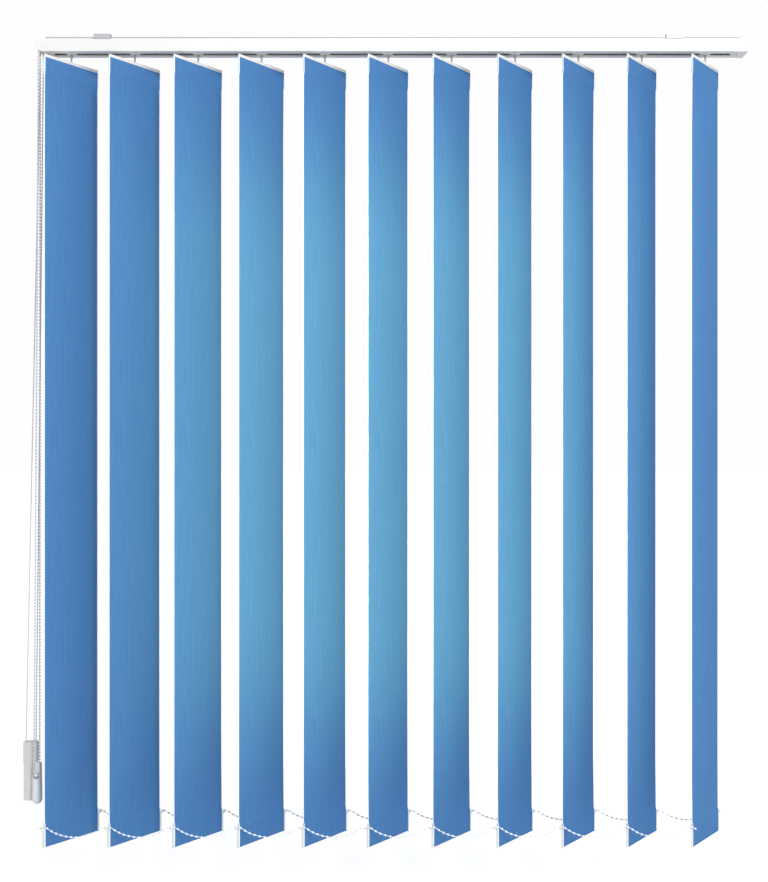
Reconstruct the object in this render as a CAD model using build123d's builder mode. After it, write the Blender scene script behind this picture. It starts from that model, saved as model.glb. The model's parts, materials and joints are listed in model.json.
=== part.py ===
"""Vertical blind with eleven 127 mm fabric louvres, worked by a draw cord and a bead chain.

Frame: origin on the ceiling face, midway between the two fixing screws. X runs along the
headrail (right, seen from the room), Y points from the room to the window, Z points up.
All sizes are millimetres. The louvres stand half open, at rest_angle to the headrail.
"""
import os
from math import atan2, cos, pi, radians, sin, tan

from build123d import *

os.makedirs("parts", exist_ok=True)

# Row of louvres
louvre_count = 11
louvre_pitch = 115.0
louvre_width = 127.0
fabric_thickness = 0.5
fabric_drop = 1404.0
rest_angle = 55.0

# Headrail
rail_depth = 40.0
rail_height = 26.8
rail_wall = 1.3
rail_lip = 1.1
rail_neck_depth = 2.5
rail_neck_height = 3.0
rail_slot = 13.0
rail_corner = 1.5
ceiling_gap = 4.5
left_overhang = 61.0
right_overhang = 74.0

# Ceiling clips
clip_inside_pivot = 60.0
clip_length = 30.0
clip_plate = 1.2
clip_hole_radius = 2.25
clip_toe_root = 0.4

# End fittings
end_cap_left = 18.0
end_cap_right = 16.0
plug_length = 12.0
plug_clearance = 0.2
cap_corner = 14.0
return_corner = 2.0
cover_thickness = 1.2
grip_ribs = 7
grip_rib_radius = 0.5
grip_first_angle = 186.0
grip_step_angle = 13.0

# Worm drive in each runner
gear_module = 1.0
wheel_teeth = 12
wheel_face = 4.0
worm_pitch_radius = 4.6
addendum = 0.9
dedendum = 1.1
tooth_at_pitch = 1.15
pressure_angle = 20.0
thread_turns = 4.5
tooth_sink = 0.3
thread_sink = 0.15
worm_end_gap = 0.3
running_gap = 0.2
gear_gap = 0.4

# Tilt rod, splined
rod_core_radius = 2.0
rod_rib_radius = 2.6
rod_rib_width = 1.2
rod_above_floor = 12.5
rod_end_gap = 0.3
rod_bore_spare = 0.5
spline_gap = 0.2
spline_end_gap = 1.0
journal_gap = 0.1

# Runners
runner_length = 19.0
runner_wall = 1.3
runner_side_gap = 0.8
runner_foot_gap = 0.1
runner_above_worm = 0.9
runner_corner = 1.0
neck_length = 10.0
neck_side_gap = 0.3
neck_below_rail = 1.1

# Spacer strips that string the runners together
spacer_width = 5.6
spacer_thickness = 0.3
spacer_levels = 7
spacer_level_pitch = 0.66
spacer_slot_width = 6.4
spacer_slot_spare = 0.8
spacer_lane_forward = 1.6
spacer_tail = 4.0
spacer_head_width = 7.6
spacer_head_thickness = 0.8
spacer_head_gap = 0.1

# Hook, hanger and bottom weight of a louvre
stem_radius = 3.0
hook_width = 3.0
hook_thickness = 1.6
hook_toe = 3.0
hook_toe_height = 2.0
stem_taper = 8.0
hook_side_gap = 0.2
hook_face_gap = 0.15
window_side_gap = 1.5
window_below_toe = 3.0
stem_drop = 14.2
spine_height = 5.0
spine_thickness = 3.0
spine_end_gap = 0.5
tongue_thickness = 1.6
tongue_height = 24.0
tongue_end_gap = 2.0
tongue_corner = 4.0
pocket_gap = 0.15
pocket_seam = 2.0
pocket_taper = 8.0
weight_thickness = 2.4
weight_height = 35.5
weight_end_gap = 1.5
end_tab = 2.5
end_tab_extra = 1.2
end_tab_gap = 0.2
end_tab_root = 1.0
cradle_wall = 1.2
cradle_heel = 1.5
cradle_lip = 0.8
cradle_back = 2.5

# Stabilising chains along the bottom
bead_diameter = 4.0
chain_reach = 4.4
chain_above_fold = 37.2
chain_sag = 18.3
chain_clip_bend = 12.0
cradle_gap = 0.5
cradle_side_gap = 0.3
chain_tail = 8.0
sag_shape = ((0.2, 0.68), (0.5, 1.04), (0.8, 0.68))

# Draw cord and its weight
cord_diameter = 2.0
cord_lane_y = 10.2
cord_upper_below_rail_top = 8.5
cord_lane_gap = 9.2
cord_slot_width = 3.2
guide_radius = 4.0
guide_rim = 1.0
guide_face = 3.6
trunnion_radius = 1.2
trunnion_length = 1.5
trunnion_gap = 0.15
pulley_gap = 0.3
cord_seat_gap = 0.35
cord_side_gap = 0.15
groove_flare = 0.1
cord_exit_gap = 0.6
upper_guide_inset = 6.4
lower_guide_inset = 11.5
return_inset = 9.0
cord_anchor_gap = 4.0
cord_join = 0.05
cord_weight_from_cap = -15.9
cord_weight_y = 12.0
cord_weight_top = -1279.8
cord_weight_width = 24.8
cord_weight_depth = 13.0
cord_weight_height = 106.6
cord_weight_collar = 36.5
cord_weight_step = 0.7
cord_weight_corner = 2.0
weight_pulley_radius = 9.2
weight_bight_gap = 0.25
weight_pulley_below_top = 16.0
weight_pulley_face = 4.0

# Control chain, its sprocket and its weight
sprocket_pockets = 6
bead_pitch = 6.0
sprocket_inset = 5.5
sprocket_flange = 1.2
flange_below_bead = 0.3
sprocket_gap = 0.35
sprocket_bore_gap = 0.1
notch_radius = 1.1
bead_side_gap = 0.5
bead_seat_gap = 0.15
chain_weight_from_cap = 0.3
chain_weight_y = -6.0
chain_weight_top = -1313.6
chain_weight_height = 75.5
chain_weight_radius = 9.3
chain_weight_top_radius = 8.4
chain_weight_brow = 3.0
chain_bight_radius = 5.0
chain_bight_below_top = 22.4
chain_bight_forward = 3.0
chain_groove_gap = 0.3
chain_post_behind = 7.44
chain_join = 0.1

# Every cut runs this far past the face that it opens
cut_past = 1.0

# Levels along the headrail
rail_top = -ceiling_gap
rail_bottom = rail_top - rail_height
rail_floor = rail_bottom + rail_wall
neck_half_depth = rail_depth / 2 - rail_neck_depth
shoulder_top = rail_top - rail_lip - rail_neck_height
shoulder_under = shoulder_top - rail_wall
inner_half_depth = rail_depth / 2 - rail_wall
rod_z = rail_floor + rod_above_floor

# Stations of the louvres and the ends of the headrail
pivots = [(k - (louvre_count - 1) / 2) * louvre_pitch for k in range(louvre_count)]
fitting_left = pivots[0] - left_overhang
fitting_right = pivots[-1] + right_overhang
rail_left = fitting_left + end_cap_left
rail_right = fitting_right - end_cap_right
clip_stations = (pivots[0] + clip_inside_pivot, pivots[-1] - clip_inside_pivot)
cord_weight_x = fitting_left + cord_weight_from_cap
chain_weight_x = fitting_left + chain_weight_from_cap

# Gear sizes
wheel_pitch_radius = gear_module * wheel_teeth / 2
wheel_tip_radius = wheel_pitch_radius + addendum
wheel_root_radius = wheel_pitch_radius - dedendum
worm_tip_radius = worm_pitch_radius + addendum
worm_root_radius = worm_pitch_radius - dedendum
rod_y = -(wheel_pitch_radius + worm_pitch_radius)
wheel_top = rod_z + wheel_face / 2
wheel_bottom = rod_z - wheel_face / 2

# Cord lanes
upper_lane_z = rail_top - cord_upper_below_rail_top
lower_lane_z = upper_lane_z - cord_lane_gap

# Levels of a louvre
neck_bottom = rail_bottom - neck_below_rail
spine_top = rail_bottom - stem_drop
fabric_top = spine_top - spine_height
fabric_fold = fabric_top - fabric_drop
hook_seat = spine_top - spine_height
toe_bottom = hook_seat - hook_toe_height
chain_z = fabric_fold + chain_above_fold


def save(solid, name):
    """Label one piece and write its STEP file."""
    solid.label = name
    export_step(solid, f"parts/{name}.step")


def save_at(solids, name, x, turn=0.0):
    """Place a repeated group of solids at its station, turned about Z, and write it."""
    station = Location((x, 0, 0), (0, 0, turn))
    save(Compound(children=[solid.moved(station) for solid in solids]), name)


def bend_radii(points, share=0.45):
    """As large a radius at each corner as its two runs allow."""
    radii = []
    for before, corner, after in zip(points, points[1:], points[2:]):
        first = Vector(*corner) - Vector(*before)
        second = Vector(*after) - Vector(*corner)
        turn = radians(first.get_angle(second))
        radii.append(share * min(first.length, second.length) / tan(turn / 2))
    return radii


def cord_tube(points, radii, diameter, name):
    """A round tube along straight runs joined by tangent arcs."""
    with BuildPart() as tube:
        with BuildLine() as route:
            FilletPolyline(*points, radius=radii)
        path = route.wire()
        with BuildSketch(Plane(origin=path @ 0, z_dir=path % 0)):
            Circle(diameter / 2)
        sweep(path=path)
    expected = pi * diameter**2 / 4 * path.length
    print(name, "length", round(path.length, 1), "volume share",
          round(tube.part.volume / expected, 4), "radii", sorted({round(r, 1) for r in radii}))
    save(tube.part, name)


# Headrail: an extruded channel with a slot underneath and a clip groove along each top edge
with BuildPart() as headrail:
    with BuildSketch(Plane.YZ.offset(rail_left)) as rail_section:
        with Locations((0, (rail_top + rail_bottom) / 2)):
            Rectangle(rail_depth, rail_height)
        lower_corners = rail_section.vertices().group_by(Axis.Y)[0]
        fillet(lower_corners, rail_corner)
        groove_middle = (rail_top - rail_lip + shoulder_top) / 2
        for side in (-1, 1):
            with Locations((side * (rail_depth / 2 - rail_neck_depth / 2), groove_middle)):
                Rectangle(rail_neck_depth, rail_neck_height, mode=Mode.SUBTRACT)
        with Locations((0, (shoulder_under + rail_floor) / 2)):
            Rectangle(2 * inner_half_depth, shoulder_under - rail_floor, mode=Mode.SUBTRACT)
        with Locations((0, (rail_top - rail_lip + shoulder_under) / 2)):
            Rectangle(2 * (neck_half_depth - rail_wall), rail_top - rail_lip - shoulder_under,
                      mode=Mode.SUBTRACT)
        with Locations((0, (rail_floor + rail_bottom) / 2)):
            Rectangle(rail_slot, rail_wall, mode=Mode.SUBTRACT)
    extrude(amount=rail_right - rail_left)
save(headrail.part, "headrail")

# Ceiling clips: bent spring plates whose toes hook into the two grooves of the headrail
with BuildPart() as ceiling_clips:
    for clip_x in clip_stations:
        with BuildSketch(Plane.YZ.offset(clip_x - clip_length / 2)):
            flange_y = rail_depth / 2 + plug_clearance + clip_plate / 2
            with Locations((0, -clip_plate / 2)):
                Rectangle(2 * flange_y + clip_plate, clip_plate)
            for side in (-1, 1):
                with Locations((side * flange_y, shoulder_top / 2)):
                    Rectangle(clip_plate, -shoulder_top)
                toe_y = flange_y - (clip_plate + rail_neck_depth) / 2 + clip_toe_root
                with Locations((side * toe_y, rail_top - rail_lip - clip_plate / 2)):
                    Rectangle(rail_neck_depth, clip_plate)
                with Locations((side * neck_half_depth / 2, (rail_top - clip_plate) / 2)):
                    Rectangle(3 * clip_plate, ceiling_gap - clip_plate)
        extrude(amount=clip_length)
    with BuildSketch(Plane.XY):
        with Locations(*[(clip_x, 0) for clip_x in clip_stations]):
            Circle(clip_hole_radius)
    extrude(amount=-clip_plate, mode=Mode.SUBTRACT)
save(ceiling_clips.part, "ceiling_clips")


def spline_sketch(gap):
    """Rod section: a round core with three ribs, grown by a gap for the bores that slide on it."""
    Circle(rod_core_radius + gap)
    with PolarLocations(rod_rib_radius / 2 + gap / 2, 3, start_angle=90):
        Rectangle(rod_rib_radius + gap, rod_rib_width + 2 * gap)


# Tilt rod: splined along its length, carried in the two end fittings
rod_left = fitting_left + cover_thickness + rod_end_gap
rod_right = fitting_right - return_inset
with BuildPart() as tilt_rod:
    with BuildSketch(Plane.YZ.offset(rod_left)):
        with Locations((rod_y, rod_z)):
            Circle(rod_core_radius)
    extrude(amount=rod_right - rod_left)
    with BuildSketch(Plane(origin=(rod_left, rod_y, rod_z), x_dir=(0, 1, 0), z_dir=(1, 0, 0))):
        spline_sketch(0)
    extrude(amount=rail_right - plug_length - spline_end_gap - rod_left)
save(tilt_rod.part, "tilt_rod")

# Sprocket: a drum between two notched flanges, driven round by the beads of the control chain
sprocket_radius = sprocket_pockets * bead_pitch / (2 * pi)
drum_radius = sprocket_radius - bead_diameter / 2 - bead_seat_gap
flange_radius = sprocket_radius + bead_diameter / 2 - flange_below_bead
sprocket_x = fitting_left + sprocket_inset
sprocket_gap_width = bead_diameter + bead_side_gap
sprocket_half = sprocket_gap_width / 2 + sprocket_flange
journal_radius = drum_radius
journal_end = rail_left + plug_length / 2
sprocket_plane = Plane(origin=(sprocket_x - sprocket_half, rod_y, rod_z), x_dir=(0, 1, 0),
                       z_dir=(1, 0, 0))
with BuildPart() as sprocket:
    with BuildSketch(sprocket_plane):
        Circle(drum_radius)
    extrude(amount=journal_end - (sprocket_x - sprocket_half))
    for start in (0, sprocket_flange + sprocket_gap_width):
        with BuildSketch(sprocket_plane.offset(start)):
            Circle(flange_radius)
            with PolarLocations(flange_radius, sprocket_pockets):
                Circle(notch_radius, mode=Mode.SUBTRACT)
        extrude(amount=sprocket_flange)
    with BuildSketch(sprocket_plane):
        spline_sketch(sprocket_bore_gap)
    extrude(amount=journal_end - (sprocket_x - sprocket_half), mode=Mode.SUBTRACT)
save(sprocket.part, "sprocket")


def pulley(x, z, radius, name, y=cord_lane_y, face=guide_face):
    """A grooved cord pulley turning about Y on a trunnion at each side."""
    side = face / 2
    end = side + trunnion_length
    with BuildPart() as wheel:
        with BuildSketch(Plane.XY.offset(z)) as section:
            with BuildLine():
                rim = radius + guide_rim
                floor_radius = radius - cord_diameter / 2 - cord_seat_gap
                half_cord = cord_diameter / 2 + cord_side_gap
                half_floor = half_cord - groove_flare
                Polyline((x, y - end), (x + trunnion_radius, y - end),
                         (x + trunnion_radius, y - side), (x + rim, y - side),
                         (x + rim, y - half_cord), (x + floor_radius, y - half_floor),
                         (x + floor_radius, y + half_floor), (x + rim, y + half_cord),
                         (x + rim, y + side), (x + trunnion_radius, y + side),
                         (x + trunnion_radius, y + end), (x, y + end), close=True)
            make_face()
        revolve(axis=Axis((x, 0, z), (0, 1, 0)))
    save(wheel.part, name)


upper_guide = (fitting_left + upper_guide_inset, upper_lane_z - guide_radius)
lower_guide = (fitting_left + lower_guide_inset, lower_lane_z - guide_radius)
return_radius = cord_lane_gap / 2
return_centre = (fitting_right - return_inset, (upper_lane_z + lower_lane_z) / 2)
weight_pulley_centre = (cord_weight_x, cord_weight_top - weight_pulley_below_top)
pulley(*upper_guide, guide_radius, "upper_guide_pulley")
pulley(*lower_guide, guide_radius, "lower_guide_pulley")
pulley(*return_centre, return_radius, "return_pulley")
pulley(*weight_pulley_centre, weight_pulley_radius, "weight_pulley", cord_weight_y,
       weight_pulley_face)


def pulley_chamber(x, z, radius, y=cord_lane_y, face=guide_face):
    """Clear the round chamber of a pulley and the two bores that carry its trunnions."""
    half = face / 2 + pulley_gap
    with BuildSketch(Plane.XZ.offset(-y - half)) as chamber:
        with Locations((x, z)):
            Circle(radius + guide_rim + pulley_gap)
    extrude(chamber.sketch, amount=2 * half, mode=Mode.SUBTRACT)
    reach = half + trunnion_length
    with BuildSketch(Plane.XZ.offset(-y - reach)) as bore:
        with Locations((x, z)):
            Circle(trunnion_radius + trunnion_gap)
    extrude(bore.sketch, amount=2 * reach, mode=Mode.SUBTRACT)


def cut_box(x_range, y_range, z_range):
    """Remove the box between three pairs of planes."""
    size = [high - low for low, high in (x_range, y_range, z_range)]
    with Locations(((x_range[0] + x_range[1]) / 2, (y_range[0] + y_range[1]) / 2,
                    (z_range[0] + z_range[1]) / 2)):
        Box(*size, mode=Mode.SUBTRACT)


def add_plug(x_start):
    """The block of an end fitting that slides into the headrail."""
    plug_low = rail_floor + plug_clearance
    plug_high = shoulder_under - plug_clearance
    with BuildSketch(Plane.YZ.offset(x_start)) as plug:
        with Locations((0, (plug_low + plug_high) / 2)):
            Rectangle(2 * (inner_half_depth - plug_clearance), plug_high - plug_low)
    extrude(plug.sketch, amount=plug_length)


# Control end: sprocket chamber in front, cord guides behind, closed by a cover at the outside
cord_exit = cord_diameter / 2 + cord_exit_gap
chamber_radius = flange_radius + sprocket_gap
bend = Vector(fitting_left + cap_corner, rail_bottom + cap_corner)
inner_bend = cap_corner - cover_thickness
cover_inside = fitting_left + cover_thickness
with BuildPart() as control_end:
    with BuildSketch(Plane.XZ.offset(-rail_depth / 2)):
        with BuildLine():
            Polyline((cover_inside, bend.Y), (cover_inside, shoulder_top),
                     (rail_left, shoulder_top), (rail_left, rail_bottom), (bend.X, rail_bottom),
                     (bend.X, rail_bottom + cover_thickness))
            CenterArc(bend, inner_bend, 270, -90)
        make_face()
    extrude(amount=rail_depth)
    add_plug(rail_left)
    # chamber of the sprocket, open to the outside and, for the two strands, below
    with BuildSketch(Plane.YZ.offset(fitting_left)):
        with Locations((rod_y, rod_z)):
            Circle(chamber_radius)
    extrude(amount=sprocket_x + sprocket_half + sprocket_gap - fitting_left, mode=Mode.SUBTRACT)
    cut_box((fitting_left, sprocket_x + sprocket_gap_width / 2),
            (rod_y - chamber_radius, rod_y + chamber_radius), (rail_bottom - cut_past, rod_z))
    # bearing of the sprocket's journal, which the rod passes through
    with BuildSketch(Plane.YZ.offset(fitting_left)):
        with Locations((rod_y, rod_z)):
            Circle(journal_radius + journal_gap)
    extrude(amount=end_cap_left + plug_length + cut_past, mode=Mode.SUBTRACT)
    # cord guides and the ways in and out of them
    pulley_chamber(*upper_guide, guide_radius)
    pulley_chamber(*lower_guide, guide_radius)
    cord_range = (cord_lane_y - cord_exit, cord_lane_y + cord_exit)
    lane_end = rail_left + plug_length + cut_past
    cut_box((upper_guide[0], lane_end), cord_range,
            (upper_lane_z - cord_exit, upper_lane_z + cord_exit))
    cut_box((lower_guide[0], lane_end), cord_range,
            (lower_lane_z - cord_exit, lower_lane_z + cord_exit))
    for guide_x, guide_z in (upper_guide, lower_guide):
        drop_x = guide_x - guide_radius
        cut_box((drop_x - cord_exit, drop_x + cord_exit), cord_range,
                (rail_bottom - cut_past, guide_z))
with BuildPart() as end_cover:
    with BuildSketch(Plane.XZ.offset(-rail_depth / 2)):
        with BuildLine():
            CenterArc(bend, cap_corner, 180, 90)
            Line((bend.X, rail_bottom), (bend.X, rail_bottom + cover_thickness))
            CenterArc(bend, inner_bend, 270, -90)
            Polyline((cover_inside, bend.Y), (cover_inside, shoulder_top),
                     (fitting_left, shoulder_top), (fitting_left, bend.Y))
        make_face()
    extrude(amount=rail_depth)
    # finger ribs round the corner
    with BuildSketch(Plane.XZ.offset(-rail_depth / 2)):
        for rib in range(grip_ribs):
            angle = radians(grip_first_angle + rib * grip_step_angle)
            with Locations((bend.X + cap_corner * cos(angle), bend.Y + cap_corner * sin(angle))):
                Circle(grip_rib_radius)
    extrude(amount=rail_depth, mode=Mode.SUBTRACT)
    # openings under the sprocket and under the two cord guides
    cut_box((sprocket_x - sprocket_half - sprocket_gap, bend.X + cut_past),
            (rod_y - chamber_radius, rod_y + chamber_radius), (rail_bottom - cut_past, rod_z))
    guide_half = guide_face / 2 + pulley_gap
    cut_box((upper_guide[0] - guide_radius - cord_exit, bend.X + cut_past),
            (cord_lane_y - guide_half, cord_lane_y + guide_half),
            (rail_bottom - cut_past, upper_guide[1]))
with BuildPart() as control_halves:
    add(control_end.part)
    split(bisect_by=Plane.XZ.offset(-cord_lane_y), keep=Keep.BOTH)
control_solids = list(control_halves.part.solids()) + list(end_cover.part.solids())
save(Compound(children=control_solids), "control_end")

# Return end: carries the far end of the tilt rod and the pulley that turns the cord back
with BuildPart() as return_end:
    with BuildSketch(Plane.XZ.offset(-rail_depth / 2)) as return_face:
        with Locations((rail_right, rail_bottom)):
            Rectangle(end_cap_right, shoulder_top - rail_bottom, align=(Align.MIN, Align.MIN))
        outer_corners = return_face.vertices().sort_by(Axis.X)[-2:]
        fillet(outer_corners, return_corner)
    extrude(amount=rail_depth)
    add_plug(rail_right - plug_length)
    plug_start = rail_right - plug_length - cut_past
    with BuildSketch(Plane.YZ.offset(plug_start)):
        with Locations((rod_y, rod_z)):
            Circle(rod_core_radius + journal_gap)
    extrude(amount=rod_right + rod_bore_spare - plug_start, mode=Mode.SUBTRACT)
    pulley_chamber(*return_centre, return_radius)
    for lane_z in (upper_lane_z, lower_lane_z):
        cut_box((plug_start, return_centre[0]), cord_range,
                (lane_z - cord_exit, lane_z + cord_exit))
    split(bisect_by=Plane.XZ.offset(-cord_lane_y), keep=Keep.BOTH)
save(Compound(children=list(return_end.part.solids())), "return_end")

# Runner body: an open-topped carriage on the lips of the headrail, its neck in the slot
runner_foot = rail_floor + runner_foot_gap
runner_half = inner_half_depth - runner_side_gap
runner_top = rod_z + worm_tip_radius + runner_above_worm
cradle_radius = worm_tip_radius + gear_gap
inner_length = runner_length - 2 * runner_wall
lane_low = lower_lane_z - cord_slot_width / 2
spacer_stack = (spacer_levels - 1) * spacer_level_pitch + spacer_thickness
spacer_slot_height = spacer_stack + spacer_slot_spare
spacer_floor = runner_foot + runner_wall
spacer_lane_y = rod_y - spacer_lane_forward
with BuildPart() as runner_body:
    with BuildSketch(Plane.XY.offset(runner_foot)):
        RectangleRounded(runner_length, 2 * runner_half, runner_corner)
    extrude(amount=runner_top - runner_foot)
    with BuildSketch(Plane.XY.offset(neck_bottom)):
        RectangleRounded(neck_length, rail_slot - 2 * neck_side_gap, runner_corner)
    extrude(amount=runner_foot - neck_bottom)
    # well of the worm wheel
    with BuildSketch(Plane.XY.offset(wheel_bottom - running_gap)):
        Circle(wheel_tip_radius + gear_gap)
    extrude(amount=runner_top - wheel_bottom + running_gap, mode=Mode.SUBTRACT)
    # cradle of the worm, with a narrower notch for its journals in each end wall
    for cut_length, cut_radius in ((inner_length, cradle_radius),
                                   (runner_length + cut_past, worm_root_radius + running_gap)):
        with BuildSketch(Plane.YZ.offset(-cut_length / 2)):
            with Locations((rod_y, rod_z)):
                Circle(cut_radius)
                Rectangle(2 * cut_radius, 2 * worm_tip_radius, align=(Align.CENTER, Align.MIN))
        extrude(amount=cut_length, mode=Mode.SUBTRACT)
    # slot for the two cords, and the lane of the spacer strips
    cut_box((-runner_length, runner_length),
            (cord_lane_y - cord_slot_width / 2, cord_lane_y + cord_slot_width / 2),
            (lane_low, runner_top + cut_past))
    cut_box((-runner_length, runner_length),
            (spacer_lane_y - spacer_slot_width / 2, spacer_lane_y + spacer_slot_width / 2),
            (spacer_floor, spacer_floor + spacer_slot_height))
    # bore of the hook's stem
    with BuildSketch(Plane.XY.offset(neck_bottom - cut_past)):
        Circle(stem_radius + running_gap)
    extrude(amount=wheel_top - neck_bottom, mode=Mode.SUBTRACT)

for number, x in enumerate(pivots, 1):
    level = spacer_floor + spacer_slot_spare / 2 + (number % spacer_levels) * spacer_level_pitch
    with BuildPart() as runner:
        with Locations((x, 0, 0)):
            add(runner_body.part)
    with BuildPart() as spacer:
        strip_start = x - runner_length / 2 - spacer_head_thickness
        strip_end = x + louvre_pitch + runner_length / 2 + spacer_tail
        with BuildSketch(Plane.XY.offset(level)):
            with Locations((strip_start, spacer_lane_y)):
                Rectangle(strip_end - strip_start, spacer_width, align=(Align.MIN, Align.CENTER))
                Rectangle(spacer_head_thickness - spacer_head_gap, spacer_head_width,
                          align=(Align.MIN, Align.CENTER))
        extrude(amount=spacer_thickness)
    solids = list(runner.part.solids())
    if number < louvre_count:
        solids += list(spacer.part.solids())
    save(Compound(children=solids), f"runner_{number:02d}")

# Worm: a right-hand thread on a sleeve that slides along the splined rod
lead = pi * gear_module
thread_length = thread_turns * lead
rack_slope = tan(radians(pressure_angle))
tooth_tip = tooth_at_pitch / 2 - addendum * rack_slope
tooth_root = tooth_at_pitch / 2 + dedendum * rack_slope
worm_half = runner_length / 2 - worm_end_gap
with BuildPart() as worm:
    with BuildSketch(Plane.YZ.offset(-worm_half)):
        Circle(worm_root_radius)
    extrude(amount=2 * worm_half)
    with BuildLine() as thread_path:
        Helix(pitch=lead, height=thread_length, radius=worm_root_radius,
              center=(-thread_length / 2, 0, 0), direction=(1, 0, 0))
    thread_start = thread_path.line @ 0
    outward = Vector(0, thread_start.Y, thread_start.Z).normalized()
    with BuildSketch(Plane(origin=thread_start, x_dir=outward, z_dir=thread_path.line % 0)):
        with BuildLine():
            tip = addendum + dedendum
            Polyline((-thread_sink, -tooth_root), (tip, -tooth_tip), (tip, tooth_tip),
                     (-thread_sink, tooth_root), close=True)
        make_face()
    sweep(path=thread_path.line, is_frenet=True)
    with BuildSketch(Plane(origin=(-worm_half, 0, 0), x_dir=(0, 1, 0), z_dir=(1, 0, 0))):
        spline_sketch(spline_gap)
    extrude(amount=2 * worm_half, mode=Mode.SUBTRACT)

# Hook: a worm wheel and stem turning in the runner, with a J-shaped blade for the hanger
mesh_angle = -90.0 - rest_angle
tooth_foot = wheel_root_radius - tooth_sink
with BuildPart() as hook:
    with BuildSketch(Plane.XY.offset(wheel_bottom)):
        Circle(wheel_root_radius)
        with PolarLocations(0, wheel_teeth, start_angle=mesh_angle):
            Polygon((tooth_foot, -tooth_root), (wheel_tip_radius, -tooth_tip),
                    (wheel_tip_radius, tooth_tip), (tooth_foot, tooth_root), align=None)
    extrude(amount=wheel_face)
    with BuildSketch(Plane.XY.offset(neck_bottom)):
        Circle(stem_radius)
    extrude(amount=wheel_bottom - neck_bottom)
    # shoulder that tapers from the stem to the blade
    with BuildSketch(Plane.XY.offset(neck_bottom)):
        Circle(stem_radius)
    with BuildSketch(Plane.XY.offset(neck_bottom - stem_taper)):
        Circle(hook_width / 2)
    loft()
    with BuildSketch(Plane.XZ.offset(-hook_thickness / 2)):
        with Locations((0, (neck_bottom + toe_bottom) / 2)):
            Rectangle(hook_width, neck_bottom - toe_bottom)
        with Locations((hook_width / 2, (hook_seat + toe_bottom) / 2)):
            Rectangle(hook_toe, hook_seat - toe_bottom, align=(Align.MIN, Align.CENTER))
    extrude(amount=hook_thickness)
    toe_corner = hook.edges().filter_by(Axis.Y).group_by(Axis.Z)[0].sort_by(Axis.X)[-1]
    fillet(toe_corner, hook_toe_height / 2)

# Hanger: a spine along the top of the fabric and a tongue inside its top pocket
slot_start = -hook_width / 2 - hook_toe - hook_side_gap
slot_end = hook_width / 2 + hook_side_gap
slot_half = hook_thickness / 2 + hook_face_gap
window_half = hook_width / 2 + hook_toe + window_side_gap
window_height = hook_toe_height + window_below_toe
with BuildPart() as hanger:
    with BuildSketch(Plane.XY.offset(fabric_top)):
        SlotOverall(louvre_width - 2 * spine_end_gap, spine_thickness)
    extrude(amount=spine_height)
    with BuildSketch(Plane.XZ.offset(-tongue_thickness / 2)) as tongue:
        with Locations((0, fabric_top - tongue_height / 2)):
            Rectangle(louvre_width - 2 * tongue_end_gap, tongue_height)
        fillet(tongue.vertices().group_by(Axis.Y)[0], tongue_corner)
    extrude(amount=tongue_thickness)
    cut_box((slot_start, slot_end), (-slot_half, slot_half),
            (fabric_top - cut_past, spine_top + cut_past))
    cut_box((-window_half, window_half), (-tongue_thickness, tongue_thickness),
            (fabric_top - window_height, fabric_top))

# Louvre: one sheet of fabric, doubled into an open top pocket and a folded bottom pocket
top_half = tongue_thickness / 2 + pocket_gap
bottom_half = weight_thickness / 2 + pocket_gap
top_seam = fabric_top - tongue_height - pocket_seam
bottom_seam = fabric_fold + fabric_thickness + weight_height + 2 * pocket_gap + pocket_seam
sheet_half = fabric_thickness / 2
with BuildPart() as louvre:
    with BuildSketch(Plane.YZ.offset(-louvre_width / 2)):
        with BuildLine():
            Polyline((-top_half - fabric_thickness, fabric_top),
                     (-top_half - fabric_thickness, top_seam),
                     (-sheet_half, top_seam - pocket_taper),
                     (-sheet_half, bottom_seam + pocket_taper),
                     (-bottom_half - fabric_thickness, bottom_seam),
                     (-bottom_half - fabric_thickness, fabric_fold),
                     (bottom_half + fabric_thickness, fabric_fold),
                     (bottom_half + fabric_thickness, bottom_seam),
                     (sheet_half, bottom_seam + pocket_taper),
                     (sheet_half, top_seam - pocket_taper),
                     (top_half + fabric_thickness, top_seam),
                     (top_half + fabric_thickness, fabric_top), close=True)
        make_face()
        with Locations((0, (fabric_top + top_seam) / 2)):
            Rectangle(2 * top_half, fabric_top - top_seam, mode=Mode.SUBTRACT)
        with Locations((0, (fabric_fold + fabric_thickness + bottom_seam) / 2)):
            Rectangle(2 * bottom_half, bottom_seam - fabric_fold - fabric_thickness,
                      mode=Mode.SUBTRACT)
    extrude(amount=louvre_width)

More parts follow.
